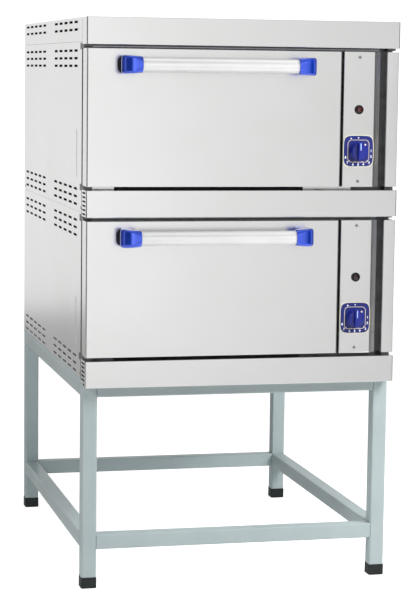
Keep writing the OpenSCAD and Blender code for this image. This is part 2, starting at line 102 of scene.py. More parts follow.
def finish_of(name, tone, second, grain, cloud, rough, metallic=0.0, bump=0.0, relief=0.1,
              mix=1.0, values=None):
    """Makes a material from two sizes of pattern, both given in millimetres along x, y and z.

    The cloud moves the colour between its two tones, and the grain moves the roughness between
    the two ends of rough and raises the surface by relief millimetres.
    """
    material = bpy.data.materials.new(name)
    material.use_nodes = True
    tree = material.node_tree
    tree.nodes.clear()
    place = add_node(tree, "ShaderNodeTexCoord")
    patterns = []
    for size in (grain, cloud):
        scale = [1 / (length * MM) for length in size]
        mapped = add_node(tree, "ShaderNodeMapping", {"Scale": scale},
                          {"Vector": place.outputs["Object"]})
        noise = add_node(tree, "ShaderNodeTexNoise", {"Scale": 1.0, "Detail": 3.0},
                         {"Vector": mapped.outputs["Vector"]})
        patterns.append(noise.outputs["Fac"])
    spread = add_node(tree, "ShaderNodeMapRange",
                      {"From Min": 0.3, "From Max": 0.7, "To Min": 0.0, "To Max": mix},
                      {"Value": patterns[1]})
    colour = add_node(tree, "ShaderNodeMix",
                      {"data_type": "RGBA", 6: linear(tone), 7: linear(second)},
                      {0: spread.outputs["Result"]})
    gloss = add_node(tree, "ShaderNodeMapRange",
                     {"From Min": 0.3, "From Max": 0.7, "To Min": rough[0], "To Max": rough[1]},
                     {"Value": patterns[0]})
    settings = {"Metallic": metallic}
    settings.update(values or {})
    links = {"Base Color": colour.outputs[2], "Roughness": gloss.outputs["Result"]}
    if bump:
        raised = add_node(tree, "ShaderNodeBump", {"Strength": bump, "Distance": relief * MM},
                          {"Height": patterns[0]})
        links["Normal"] = raised.outputs["Normal"]
    shader = add_node(tree, "ShaderNodeBsdfPrincipled", settings, links)
    add_node(tree, "ShaderNodeOutputMaterial", {}, {"Surface": shader.outputs["BSDF"]})
    return material


FINISHES = {
    # Stainless steel sheet, brushed level: pale, with a soft reflection drawn out into fine
    # level lines. The real lines lie 0.1 mm apart and are drawn 1.5 mm apart so that they show.
    "stainless": finish_of("brushed_stainless", "#EDEDED", "#E8E8E7", (160, 160, 1.5),
                           (320, 320, 240), (0.24, 0.26), metallic=1.0),
    # Powder coat on mild steel tube, baked: even grey-green with a faint orange peel, whose real
    # dimples are 1 mm wide and are drawn 2 mm wide.
    "stand_enamel": finish_of("grey_powder_coat", "#B3C0C1", "#ABB8BA", (2, 2, 2),
                              (120, 120, 160), (0.32, 0.42), bump=0.12, relief=0.08),
    # Moulded polypropylene, black with a green cast: dull, and scuffed paler at random.
    "foot_plastic": finish_of("moulded_foot_plastic", "#0C1413", "#161F1D", (1.2, 1.2, 1.2),
                              (14, 14, 9), (0.45, 0.6), bump=0.2),
    # Steel, hot rolled and darkened: mid grey, cloudy from the rolling.
    "dark_steel": finish_of("darkened_steel", "#5A5B5D", "#747577", (3, 3, 3), (25, 25, 25),
                            (0.35, 0.5), metallic=1.0, bump=0.1),
    # Steel angle, zinc plated: pale grey with small flakes of zinc about 6 mm wide.
    "guide_steel": finish_of("zinc_plated_angle", "#B9BCC0", "#9DA1A6", (1, 1, 1), (6, 6, 6),
                             (0.28, 0.42), metallic=1.0, bump=0.06),
    # Baking tray of blued black steel: dark, blue-grey, stained brown by use.
    "tray_steel": finish_of("blued_tray_steel", "#3B3E44", "#4A423B", (2, 2, 2), (45, 45, 45),
                            (0.32, 0.5), metallic=0.85, bump=0.08),
    # Silicone rubber, extruded: dead black and dull, with fine lines along it.
    "gasket_rubber": finish_of("silicone_gasket", "#1B1B1B", "#282726", (1, 1, 1), (30, 30, 30),
                               (0.55, 0.7), bump=0.15),
    # Dial of anodised sheet with a printed face: strong blue, slightly cloudy.
    "dial_blue": finish_of("printed_dial_blue", "#101B62", "#17236E", (1.5, 1.5, 1.5),
                           (18, 18, 18), (0.3, 0.4), bump=0.04),
    # Screws of stainless wire, cold headed: bright, with a satin grain.
    "screw_steel": finish_of("cold_headed_screw", "#C9CACC", "#A9ABAE", (0.6, 0.6, 0.6),
                             (3, 3, 3), (0.22, 0.35), metallic=1.0, bump=0.05),
    # Black polyamide, moulded: dark with a fine spark-eroded grain of about 0.5 mm.
    "black_plastic": finish_of("moulded_black_polyamide", "#121214", "#1C1C1E",
                               (0.5, 0.5, 0.5), (8, 8, 8), (0.35, 0.5), bump=0.1),
    # Pale thermoset of a terminal block, pressed: cream, faintly mottled.
    "terminal_plastic": finish_of("pressed_cream_thermoset", "#D9D3C2", "#CBC3AE", (0.8, 0.8, 0.8),
                                  (9, 9, 9), (0.4, 0.55), bump=0.08),
    # Vitreous enamel on the chamber's sheet, sprayed and fired: charcoal with pale specks.
    "chamber_enamel": finish_of("fired_charcoal_enamel", "#2B2D30", "#3C3E42", (1.5, 1.5, 1.5),
                                (4, 4, 4), (0.18, 0.3), bump=0.1, relief=0.06),
    # Mineral wool board faced with black glass tissue: dark, matt and fibrous.
    "mineral_wool": finish_of("black_faced_mineral_wool", "#0B0B0A", "#131210", (2, 9, 2),
                              (12, 12, 12), (0.85, 0.95), bump=0.6, relief=0.8),
    # Heating rod of heat-proof steel, swaged and oxidised: dark, brown to grey in patches.
    "heater_steel": finish_of("oxidised_heating_rod", "#4B4641", "#5D5A58", (1, 1, 1),
                              (22, 22, 22), (0.4, 0.55), metallic=0.8, bump=0.08),
    # Knob of phenolic plastic, moulded and polished: deep blue with a clear gloss.
    "knob_blue": finish_of("polished_knob_blue", "#0C1A74", "#13228C", (1, 1, 1), (12, 12, 12),
                           (0.2, 0.28), bump=0.02, values={"Coat Weight": 0.3}),
    # Aluminium tube, drawn and anodised clear: silver-white, with fine lines round it.
    "handle_aluminium": finish_of("anodised_tube", "#F2F2F2", "#ECECEC", (1.2, 30, 30),
                                  (90, 40, 40), (0.3, 0.38), metallic=0.55, bump=0.01),
    # Elbows of ABS, moulded with metal flake in the blue: they mirror the room in blue, so they
    # turn from royal blue to navy round their corners.
    "bracket_blue": finish_of("metal_flake_elbow_blue", "#1050ED", "#0D49E0", (0.8, 0.8, 0.8),
                              (16, 16, 16), (0.2, 0.26), metallic=0.75, bump=0.01,
                              values={"Coat Weight": 1.0, "Coat IOR": 1.8,
                                      "Coat Roughness": 0.12}),
}
# Screen-printed inks on the dials and knobs: opaque and slightly uneven.
PRINT_WHITE = finish_of("dial_ink_white", "#FFFFFF", "#EEF2FF", (0.6, 0.6, 0.6), (2, 2, 2),
                        (0.4, 0.5), bump=0.05)
POINTER_BLUE = finish_of("pointer_ink_pale_blue", "#A9C2F6", "#98B2EC", (0.6, 0.6, 0.6),
                         (2, 2, 2), (0.4, 0.5), bump=0.05)
PRINT_GOLD = finish_of("dial_ink_gold", "#F6EBD2", "#EBDAC4", (0.6, 0.6, 0.6), (3, 3, 3),
                       (0.35, 0.5), bump=0.05)
# Rim of each dial, left bare of blue and lacquered: pale cream.
RIM_CREAM = finish_of("dial_rim_cream", "#E6E2C2", "#D5D2C0", (0.8, 0.8, 0.8), (5, 5, 5),
                      (0.35, 0.5), bump=0.04)
# Turned peg in the skirt of each knob, coloured very pale yellow: a small warm spark.
PEG_PALE_YELLOW = finish_of("pale_yellow_peg", "#FFF6CE", "#FCEDBE", (0.3, 0.3, 0.3),
                       (1, 1, 1), (0.2, 0.3), metallic=0.05)
# Lenses of dyed polycarbonate, moulded: unlit, so they look almost black with a clear gloss.
LENSES = {
    "upper": finish_of("unlit_red_lens", "#451212", "#2C0A0A", (0.6, 0.6, 0.6), (2.5, 2.5, 2.5),
                       (0.08, 0.14), values={"Coat Weight": 0.5}),
    "lower": finish_of("unlit_smoked_lens", "#241012", "#17090A", (0.6, 0.6, 0.6),
                       (2.5, 2.5, 2.5), (0.08, 0.14), values={"Coat Weight": 0.5}),
}
# Studio floor: painted board, pale and dull. Its glow is strong only where it is looked at
# directly, so that it shows white and still lights the oven little from below.
FLOOR_PAINT = finish_of("floor_paint", "#F2F2F2", "#EEEEEE", (3, 3, 3), (900, 900, 900),
                        (0.85, 0.95), values={"Emission Color": (1, 1, 1, 1)})
floor_tree = FLOOR_PAINT.node_tree
seen_as = add_node(floor_tree, "ShaderNodeLightPath")
glow = add_node(floor_tree, "ShaderNodeMapRange", {"To Min": 0.12, "To Max": 0.8},
                {"Value": seen_as.outputs["Is Camera Ray"]})
floor_tree.links.new(glow.outputs["Result"],
                     floor_tree.nodes["Principled BSDF"].inputs["Emission Strength"])

for row in frame["record"]["subparts"]:
    node = frame["nodes"][row["node"]]
    node.data.materials.clear()
    node.data.materials.append(FINISHES[row["material_slot"]])

# ---------------------------------------------------------------- making pieces

# Edges that turn by more than this stay sharp in the shading
SHARP_DEG = 38


def plain_mesh(holder):
    """The mesh of an object with its modifiers applied, or of a text."""
    graph = bpy.context.evaluated_depsgraph_get()
    return bpy.data.meshes.new_from_object(holder.evaluated_get(graph), depsgraph=graph)


def add_piece(name, mesh, body, slot, finish=None, stands_for=()):
    """Links a mesh as a piece that rides on a body and stands for CAD nodes."""
    piece = bpy.data.objects.new(name, mesh)
    scene.collection.objects.link(piece)
    mesh.materials.clear()
    mesh.materials.append(finish or FINISHES[slot])
    mesh.polygons.foreach_set("use_smooth", [True] * len(mesh.polygons))
    mesh.set_sharp_from_angle(angle=math.radians(SHARP_DEG))
    shading = piece.modifiers.new("even_shading", "WEIGHTED_NORMAL")
    shading.keep_sharp = True
    shaded = plain_mesh(piece)
    piece.modifiers.clear()
    piece.data = shaded
    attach(piece, body)
    if stands_for:
        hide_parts(*stands_for)


def close(bm, name, body, slot, finish=None, stands_for=(), outward=True):
    """Turns a drawing in millimetres into a piece; outward turns its faces outwards."""
    if outward:
        bmesh.ops.remove_doubles(bm, verts=bm.verts, dist=0.001)
        bmesh.ops.recalc_face_normals(bm, faces=bm.faces)
    bm.transform(TO_FRAME)
    mesh = bpy.data.meshes.new(name)
    bm.to_mesh(mesh)
    bm.free()
    add_piece(name, mesh, body, slot, finish, stands_for)


def cad_copy(node):
    """A merged copy of a CAD node, in millimetres, with its flat faces whole."""
    bm = bmesh.new()
    bm.from_mesh(frame["nodes"][node].data)
    bm.transform(TO_MM)
    bmesh.ops.remove_doubles(bm, verts=bm.verts, dist=0.01)
    bmesh.ops.dissolve_limit(bm, angle_limit=math.radians(1), verts=bm.verts, edges=bm.edges)
    return bm


def round_edges(bm, radius, pick, steps=3):
    """Rounds the outward edges that pick chooses."""
    chosen = [edge for edge in bm.edges
              if len(edge.link_faces) == 2
              and edge.calc_face_angle_signed(0) > math.radians(20) and pick(edge)]
    bmesh.ops.bevel(bm, geom=chosen, offset=radius, offset_type="OFFSET", segments=steps,
                    profile=0.5, affect="EDGES", clamp_overlap=True)


def fold_sheet(node, walls, levels, body=OVEN, slot="stainless"):
    """Replaces a folded sheet of the CAD model by one whose outer folds are round.

    Walls names the upright sides of its box that meet in wide corners, and levels the level
    sides that meet the walls in narrow folds.
    """
    bm = cad_copy(node)
    reach_of = {axis + sign: pick(v.co[i] for v in bm.verts)
                for i, axis in enumerate("xyz") for sign, pick in (("-", min), ("+", max))}

    def sides_at(edge, names, slack=0.02):
        return [name for name in names.split()
                if all(abs(v.co["xyz".index(name[0])] - reach_of[name]) < slack
                       for v in edge.verts)]

    round_edges(bm, CORNER_R, lambda edge: len(sides_at(edge, walls)) > 1)
    round_edges(bm, FOLD_R, lambda edge: sides_at(edge, levels) and (
        sides_at(edge, walls) or len(sides_at(edge, walls, CORNER_R + 0.1)) > 1))
    close(bm, node + "_folded", body, slot, stands_for=[node], outward=False)


def loft(bm, rings, around=False):
    """Skins rings of equal length; around joins the last ring to the first, or both are capped."""
    rows = [[bm.verts.new(point) for point in ring] for ring in rings]
    pairs = list(zip(rows, rows[1:]))
    if around:
        pairs.append((rows[-1], rows[0]))
    else:
        bm.faces.new(rows[0])
        bm.faces.new(rows[-1])
    for near, far in pairs:
        for i, corner in enumerate(near):
            bm.faces.new((near[i - 1], corner, far[i], far[i - 1]))


def turned(bm, x, z, profile, count=64, around=False):
    """A shape turned about the line through x and z along y; profile is radius and y."""
    turns = [2 * math.pi * i / count for i in range(count)]
    rings = [[(x + radius * math.cos(a), y, z + radius * math.sin(a)) for a in turns]
             for radius, y in profile]
    loft(bm, rings, around)


def outline(width, height, power, count=64):
    """Points of a square-shouldered oval; a higher power gives squarer shoulders."""
    points = []
    for i in range(count):
        a = 2 * math.pi * (i + 0.5) / count
        across = math.copysign(abs(math.cos(a)) ** (2 / power), math.cos(a))
        up = math.copysign(abs(math.sin(a)) ** (2 / power), math.sin(a))
        points.append((width / 2 * across, height / 2 * up))
    return points


def round_rect(width, height, radius, steps=5):
    """Points of a rectangle with round corners."""
    points = []
    for turn, (across, up) in enumerate(((1, 1), (-1, 1), (-1, -1), (1, -1))):
        for i in range(steps + 1):
            a = math.pi / 2 * (turn + i / steps)
            points.append((across * (width / 2 - radius) + radius * math.cos(a),
                           up * (height / 2 - radius) + radius * math.sin(a)))
    return points


def facing(outward, along):
    """The turn that brings +Z to outward and +X to along."""
    across = outward.cross(along)
    return tuple(Matrix((along, across, outward)).transposed().to_euler())


# ---------------------------------------------------------------- things that repeat


def new_tree(name, sockets):
    """A Geometry Nodes tree with its named inputs, and the points and turns it works on."""
    tree = bpy.data.node_groups.new(name, "GeometryNodeTree")
    tree.interface.new_socket("Geometry", in_out="OUTPUT", socket_type="NodeSocketGeometry")
    tree.interface.new_socket("Geometry", in_out="INPUT", socket_type="NodeSocketGeometry")
    for socket_name, kind in sockets:
        tree.interface.new_socket(socket_name, in_out="INPUT", socket_type="NodeSocket" + kind)
    return tree, tree.nodes.new("NodeGroupInput").outputs


def end_tree(tree, given, shape):
    """Sets the shape on every point, turned and stretched as its attributes say."""
    turn = add_node(tree, "GeometryNodeInputNamedAttribute",
                    {"data_type": "FLOAT_VECTOR", "Name": "turn"})
    stretch = add_node(tree, "GeometryNodeInputNamedAttribute",
                       {"data_type": "FLOAT_VECTOR", "Name": "stretch"})
    turned_by = add_node(tree, "FunctionNodeEulerToRotation", {},
                         {"Euler": turn.outputs["Attribute"]})
    placed = add_node(tree, "GeometryNodeInstanceOnPoints", {},
                      {"Points": given["Geometry"], "Instance": shape,
                       "Rotation": turned_by.outputs["Rotation"],
                       "Scale": stretch.outputs["Attribute"]})
    real = add_node(tree, "GeometryNodeRealizeInstances", {},
                    {"Geometry": placed.outputs["Instances"]})
    finished = add_node(tree, "GeometryNodeSetMaterial", {},
                        {"Geometry": real.outputs["Geometry"], "Material": given["Finish"]})
    add_node(tree, "NodeGroupOutput", {}, {"Geometry": finished.outputs["Geometry"]})
    return tree


def rim_tree():
    """The rolled rim of a slot with round ends."""
    tree, given = new_tree("slot_rims", [("Length", "Float"), ("Height", "Float"),
                                         ("Bead", "Float"), ("Finish", "Material")])
    shape = add_node(tree, "GeometryNodeCurvePrimitiveQuadrilateral", {},
                     {"Width": given["Length"], "Height": given["Height"]})
    half = add_node(tree, "ShaderNodeMath", {"operation": "MULTIPLY", 1: 0.499},
                    {0: given["Height"]})
    round_ends = add_node(tree, "GeometryNodeFilletCurve", {"mode": "POLY", "Count": 2},
                          {"Curve": shape.outputs["Curve"], "Radius": half.outputs[0]})
    bead = add_node(tree, "GeometryNodeCurvePrimitiveCircle", {"mode": "RADIUS", "Resolution": 4},
                    {"Radius": given["Bead"]})
    rim = add_node(tree, "GeometryNodeCurveToMesh", {},
                   {"Curve": round_ends.outputs["Curve"], "Profile Curve": bead.outputs["Curve"]})
    return end_tree(tree, given, rim.outputs["Mesh"])


def screw_tree():
    """A low screw head with a cross recess."""
    tree, given = new_tree("cross_head_screws", [("Radius", "Float"), ("Height", "Float"),
                                                 ("Recess", "Float"), ("Finish", "Material")])
    crown = add_node(tree, "ShaderNodeMath", {"operation": "MULTIPLY", 1: 0.72},
                     {0: given["Radius"]})
    head = add_node(tree, "GeometryNodeMeshCone", {"Vertices": 24, "fill_type": "NGON"},
                    {"Radius Top": crown.outputs[0], "Radius Bottom": given["Radius"],
                     "Depth": given["Height"]})
    reach = add_node(tree, "ShaderNodeMath", {"operation": "MULTIPLY", 1: 1.05},
                     {0: given["Radius"]})
    lift = add_node(tree, "ShaderNodeCombineXYZ", {}, {"Z": given["Height"]})
    cutters = []
    for wide, long in ((reach.outputs[0], given["Recess"]), (given["Recess"], reach.outputs[0])):
        size = add_node(tree, "ShaderNodeCombineXYZ", {},
                        {"X": wide, "Y": long, "Z": given["Height"]})
        bar = add_node(tree, "GeometryNodeMeshCube", {}, {"Size": size.outputs[0]})
        moved = add_node(tree, "GeometryNodeTransform", {},
                         {"Geometry": bar.outputs["Mesh"], "Translation": lift.outputs[0]})
        cutters.append(moved.outputs["Geometry"])
    first = add_node(tree, "GeometryNodeMeshBoolean", {"operation": "DIFFERENCE"},
                     {"Mesh 1": head.outputs["Mesh"], "Mesh 2": cutters[0]})
    both = add_node(tree, "GeometryNodeMeshBoolean", {"operation": "DIFFERENCE"},
                    {"Mesh 1": first.outputs["Mesh"], "Mesh 2": cutters[1]})
    return end_tree(tree, given, both.outputs["Mesh"])


def repeat(name, tree, places, sizes, slot, finish=None, body=OVEN, stands_for=()):
    """Runs a tree on places, each a point, its turn and its stretch, and keeps the plain mesh."""
    carrier = bpy.data.meshes.new(name + "_places")
    carrier.from_pydata([TO_FRAME @ Vector(point) for point, turn, stretch in places], [], [])
    for attribute, index in (("turn", 1), ("stretch", 2)):
        stored = carrier.attributes.new(attribute, "FLOAT_VECTOR", "POINT")
        stored.data.foreach_set("vector", [x for place in places for x in place[index]])
    holder = bpy.data.objects.new(name + "_holder", carrier)
    scene.collection.objects.link(holder)
    growth = holder.modifiers.new("repeat", "NODES")
    growth.node_group = tree
    wanted = dict(sizes, Finish=finish or FINISHES[slot])
    for item in tree.interface.items_tree:
        if item.in_out == "INPUT" and item.name in wanted:
            growth[item.identifier] = wanted[item.name]
    plain = plain_mesh(holder)
    bpy.data.objects.remove(holder)
    plain.name = name
    add_piece(name, plain, body, slot, finish, stands_for)


# ---------------------------------------------------------------- sheets of the body

# Radius of the wide upright corners, and of the narrow folds along the level edges
CORNER_R = 4.2
FOLD_R = 1.2
for node_name in ("bottom_band", "middle_band", "top_band"):
    fold_sheet(node_name, "x- x+ y-", "z- z+")
fold_sheet("roof_panel", "x- x+ y+", "z+")

for level in LEVELS:
    fold_sheet(level + "_door_skin", "x- x+ y-", "z- z+", body=level + "_door")

    # The liner's raised field is pressed, so its edges are soft
    liner = cad_copy(level + "_door_liner")
    field_y = max(v.co.y for v in liner.verts)
    round_edges(liner, 1.0, lambda edge: all(v.co.y > field_y - 0.01 for v in edge.verts)
                and edge.calc_length() > 30)
    close(liner, level + "_door_liner_pressed", level + "_door", "stainless",
          stands_for=[level + "_door_liner"], outward=False)

    # The control column's long folds run up its height, and its ends are folded shut
    column = cad_copy(level + "_control_panel")
    round_edges(column, 1.8, lambda edge: edge.calc_length() > 80
                and abs(edge.verts[0].co.z - edge.verts[1].co.z) > 300
                and edge.verts[0].co.y < 40)
    close(column, level + "_control_column", OVEN, "stainless",
          stands_for=[level + "_control_panel"], outward=False)

posts = cad_copy("trim_posts")
round_edges(posts, 2.0, lambda edge: edge.calc_length() > 300 and edge.verts[0].co.y < 1
            and edge.verts[1].co.y < 1)
close(posts, "trim_posts_folded", OVEN, "stainless", stands_for=["trim_posts"], outward=False)

covers = cad_copy("access_covers")
cover_x = min(v.co.x for v in covers.verts)
round_edges(covers, 0.5, lambda edge: all(v.co.x < cover_x + 0.01 for v in edge.verts), steps=2)
close(covers, "access_covers_pressed", OVEN, "stainless", stands_for=["access_covers"],
      outward=False)

# ---------------------------------------------------------------- strips in the gaps


def strip(bm, axis, ends, middle, size, radius):
    """A strip with a rounded section and drawn-in ends, along x or z."""
    rings = []
    for where, shrink in ((ends[0], 0.6), (ends[0] + 0.6, 0), (ends[1] - 0.6, 0), (ends[1], 0.6)):
        section = round_rect(size[0] - 2 * shrink, size[1] - 2 * shrink, radius - shrink / 2, 3)
        if axis == "x":
            rings.append([(where, middle[0] + u, middle[1] + v) for u, v in section])
        else:
            rings.append([(middle[0] + u, middle[1] + v, where) for u, v in section])
    loft(bm, rings)


# Dark rubber edging on the front edges of the side panels, narrower along the roof's skirt: painted
# shade, a dark strip where the gap beside each door lies in shade
PANEL_Y = 63.2
EDGING_X = 417.65
EDGING_THICK = 4.6
PANEL_EDGING = ((556, 1436), 7.8)
SKIRT_EDGING = ((1439, 1499), 3.4)
shade_edging = bmesh.new()
for side in SIDES:
    for ends, width in (PANEL_EDGING, SKIRT_EDGING):
        strip(shade_edging, "z", ends, (side * EDGING_X, PANEL_Y + width / 2), (EDGING_THICK, width),
              1.2)
close(shade_edging, "panel_edging_extruded", OVEN, "gasket_rubber")

# Zinc-plated stiffening rails of the front frames show in the gaps above the doors
RAIL_ENDS = (-396, 382)
RAIL_Y = 61.1
RAIL_RISE = 369.4
rails = bmesh.new()
for level in LEVELS:
    strip(rails, "x", RAIL_ENDS, (RAIL_Y, BAY_Z[level] + RAIL_RISE), (3, 4.6), 1)
close(rails, "frame_rails_rolled", OVEN, "guide_steel")

# Bright sill plates on both sides of the dark strip under the upper door
SILL_Y = 57.5
SILL_RISE = 4.4
sills = bmesh.new()
for ends in ((-404, -336), (174, 308)):
    strip(sills, "x", ends, (SILL_Y, BAY_Z["upper"] + SILL_RISE), (4, 8), 1)
close(sills, "upper_sill_plates", OVEN, "stainless")

# ---------------------------------------------------------------- vent slots

PANEL_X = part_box("lower_side_panel_right")[1].x / MM
BAND_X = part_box("top_band")[1].x / MM
FULL_SIZE = (1, 1, 1)
SLOT = {"Length": 50.4 * MM, "Height": 6.9 * MM, "Bead": 0.4 * MM}
SLOT_PITCH = 81.5
# Each row has a front and a back group of five slots. A panel has three rows near its lower
# edge and three near its upper edge, and the roof's skirt has two.
GROUP_STARTS = (167, 702)
slot_ys = [start + SLOT_PITCH * i for start in GROUP_STARTS for i in range(5)]
SKIRT_ROWS = [1490, 1470]
PANEL_ROW_RISES = (-43.5, -23.5, -3.5, 318.5, 338.5, 358.5)
slot_zs = SKIRT_ROWS + [BAY_Z[level] + rise for level in LEVELS for rise in PANEL_ROW_RISES]
rims = rim_tree()
repeat("side_slot_rims", rims,
       [((side * PANEL_X, y, z), facing(side * RIGHT, BACK), FULL_SIZE)
        for side in SIDES for y in slot_ys for z in slot_zs], SLOT, "stainless")

# Six slots in each side return of the two lower bands
BAND_SLOT = {"Length": 46.4 * MM, "Height": 5.4 * MM, "Bead": 0.25 * MM}
BAND_SLOT_Y = 31.5
BAND_SLOT_PITCH = 11
RIM_INSET = 0.4
repeat("band_slot_rims", rims,
       [((side * (BAND_X - RIM_INSET), BAND_SLOT_Y,
          BAY_Z[level] + BAND_RISE + BAND_SLOT_PITCH * step),
         facing(side * RIGHT, BACK), FULL_SIZE)
        for side in SIDES for level in LEVELS for step in (-2.5, -1.5, -0.5, 0.5, 1.5, 2.5)],
       BAND_SLOT, "stainless")

# Pressed pans behind the slots of the bands, near black as painted shade, so that the slots show
# dark inside
PAN_X = BAND_X - 2.2
shade_pans = bmesh.new()
for side in SIDES:
    for level in LEVELS:
        middle_z = BAY_Z[level] + BAND_RISE
        loft(shade_pans, [[(side * x, BAND_SLOT_Y + u, middle_z + v)
                     for u, v in round_rect(54 - 2 * inset, 62 - 2 * inset, 6 - inset)]
                    for x, inset in ((PAN_X, 0), (PAN_X, 1.2), (PAN_X - 4, 2.4), (PAN_X - 5.2, 2.4),
                                     (PAN_X - 5.2, 1.2), (PAN_X - 1.2, 0))])
close(shade_pans, "band_slot_pans", OVEN, "mineral_wool")

# ---------------------------------------------------------------- screws

HEAD = {"Radius": 4.5 * MM, "Height": 1.8 * MM, "Recess": 1.3 * MM}
COVER_HEAD = {"Radius": 3.4 * MM, "Height": 0.7 * MM, "Recess": 0.9 * MM}
# Heads on the side panels are half as high, so that they stay inside the bands' width
LOW_HEAD = (1, 1, 0.5)
screws = screw_tree()
# Two on each control column
heads = [((COLUMN_X, 0, BAY_Z[level] + rise), facing(FRONT, RIGHT), FULL_SIZE)
         for level in LEVELS for rise in (24, 350)]
# One near the front and one near the back edge at the foot of each side panel
heads += [((side * PANEL_X, y, z), facing(side * RIGHT, BACK), LOW_HEAD)
          for z in (572, 1008) for side in SIDES for y in (82, 1070)]
# Three along the lower and the upper edge of each back panel, the outer ones 1.5 mm further out
BACK_Y = 1086
BACK_PANEL_ZS = (552, 996)
heads += [((x, BACK_Y + lift, panel_z + rise), facing(BACK, LEFT), FULL_SIZE)
          for panel_z in BACK_PANEL_ZS for rise in (30, 414)
          for x, lift in ((-409.5, 3), (0, 1.5), (409.5, 3))]
repeat("panel_screws_cross", screws, heads, HEAD, "screw_steel", stands_for=["panel_screws"])
COVER_Y = 205
cover_heads = [((-PANEL_X - 0.2, COVER_Y, BAY_Z[level] + rise), facing(LEFT, BACK), LOW_HEAD)
               for level in LEVELS for rise in (46, 136)]
repeat("access_cover_screws", screws, cover_heads, COVER_HEAD, "dark_steel")

# ---------------------------------------------------------------- handles

HANDLE_X = -79
HANDLE_RISE = 323.5
HALF_HANDLE = 258
HALF_TUBE = 224
BAR_R = 18.5
# How far the bar's middle and the elbows' front face stand before the door
BAR_DEPTH = 47
ELBOW_DEPTH = 68
# Outer radius of the elbow's bend, and where the bend starts
BEND_R = 32
BEND_DEPTH = 36
BEND_STEPS = 8
# Dark rubber pads between the elbows and the door, which show at the outer sides of the feet as
# painted shade: a dark thing set where the shade beside each elbow falls
PAD_W = 38
PAD_H = 46
PAD_R = 17
PAD_PROUD = 3.5


def elbow(bm, side, z):
    """One moulded elbow, from its square foot on the door to its round sleeve on the bar.

    Each station joins a point of the outer side to one of the inner side, both given as the
    distance from the handle's end and the distance in front of the door. The foot is narrower
    at the door than at the bend.
    """
    stations = [((8, 0), (34, 0)), ((6, 9), (34, 6)), ((4, 18), (34, 11)), ((2, 27), (34, 15)),
                ((0, BEND_DEPTH), (34, 18))]
    for i in range(1, BEND_STEPS + 1):
        a = math.pi / 2 * i / BEND_STEPS
        stations.append(((BEND_R - BEND_R * math.cos(a), BEND_DEPTH + BEND_R * math.sin(a)),
                         (34 + 10 * (i / BEND_STEPS) ** 2, 18 + 8 * math.sin(a))))
    stations += [((38, ELBOW_DEPTH), (46, 26)), ((45, ELBOW_DEPTH), (49, 26)),
                 ((51.2, ELBOW_DEPTH), (51.2, 26))]
    rings = []
    for i, (outer, inner) in enumerate(stations):
        outer = Vector(outer)
        inner = Vector(inner)
        # From foot to sleeve the section gets lower, and in the last quarter rounder
        share = i / (len(stations) - 1)
        power = 6 - 3.4 * max(0, (share - 0.75) / 0.25)
        height = 2 * (25 - 4 * share ** 1.5)
        length = (outer - inner).length
        middle = (outer + inner) / 2
        along = (outer - inner) / length
        rings.append([(middle + along * across, up)
                      for across, up in outline(length, height, power)])
    # The sleeve's end, and its bore that goes back over the bar
    for reach, radius in ((52, 20.3), (52, 18.6), (30, 18.6)):
        rings.append([(Vector((reach, BAR_DEPTH + across)), up)
                      for across, up in outline(2 * radius, 2 * radius, 2)])
    loft(bm, [[(HANDLE_X + side * (HALF_HANDLE - plan.x), -plan.y, z + up) for plan, up in ring]
              for ring in rings])


def tube(bm, x0, x1, z):
    """The handle's drawn tube, with its cut ends broken."""
    profile = [(x0, 17), (x0, 18), (x0 + 0.5, BAR_R), (x1 - 0.5, BAR_R), (x1, 18), (x1, 17)]
    turns = [2 * math.pi * i / 96 for i in range(96)]
    loft(bm, [[(x, -BAR_DEPTH + r * math.cos(a), z + r * math.sin(a)) for a in turns]
              for x, r in profile], around=True)


for level in LEVELS:
    middle_z = BAY_Z[level] + HANDLE_RISE
    elbows = bmesh.new()
    for side in SIDES:
        elbow(elbows, side, middle_z)
    close(elbows, level + "_handle_elbows", level + "_door", "bracket_blue",
          stands_for=[level + "_handle_brackets"])
    # Dark pads beside the elbows' feet, as painted shade
    shade_pads = bmesh.new()
    for side in SIDES:
        shade_pad_x = HANDLE_X + side * (HALF_HANDLE + PAD_PROUD - PAD_W / 2)
        loft(shade_pads, [[(shade_pad_x + u, y, middle_z + v)
                     for u, v in round_rect(PAD_W - 2 * inset, PAD_H - 2 * inset, PAD_R - inset)]
                    for y, inset in ((0, 0), (-1.4, 0), (-2, 0.8))])
    close(shade_pads, level + "_handle_pads", level + "_door", "gasket_rubber")
    bar = bmesh.new()
    tube(bar, HANDLE_X - HALF_TUBE, HANDLE_X + HALF_TUBE, middle_z)
    close(bar, level + "_handle_tube", level + "_door", "handle_aluminium",
          stands_for=[level + "_handle_bar"])

# ---------------------------------------------------------------- dials, knobs and lamps

KNOB_RISE = 104
LAMP_RISE = 213
# Height of the digits, and where their middles stand on the dial
DIGIT_H = 9
DIGIT_PLACES = ((35.3, 0.5), (35.0, -14.5), (30.0, -30.5), (14.2, -35.3), (0, -36.0),
                (-14.2, -35.3), (-30.0, -30.5), (-35.2, -17.0))
# How far the pointer's middle lies above the knob's, and the peg to the right of and above it
POINTER_RISE = 11.5
PEG_AT = (16.4, 16.6)


def flat_ring(bm, x, z, outer, inner, y_back, y_front):
    """A flat raised ring between two outlines with the same number of points."""
    loft(bm, [[(x + u, y, z + v) for u, v in edge]
              for edge, y in ((outer, y_back), (outer, y_front), (inner, y_front),
                              (inner, y_back))], around=True)


def add_digit(bm, digit, x, y, z):
    """Adds a raised digit that is read from the front."""
    text = bpy.data.curves.new("digit", "FONT")
    text.body = digit
    text.size = DIGIT_H
    text.align_x = "CENTER"
    text.align_y = "CENTER"
    text.extrude = 0.12
    text.offset = 0.25
    text.resolution_u = 3
    holder = bpy.data.objects.new("digit", text)
    scene.collection.objects.link(holder)
    mesh = plain_mesh(holder)
    bpy.data.objects.remove(holder)
    mesh.transform(Matrix.Translation((x, y, z)) @ Matrix.Rotation(math.pi / 2, 4, "X"))
    bm.from_mesh(mesh)


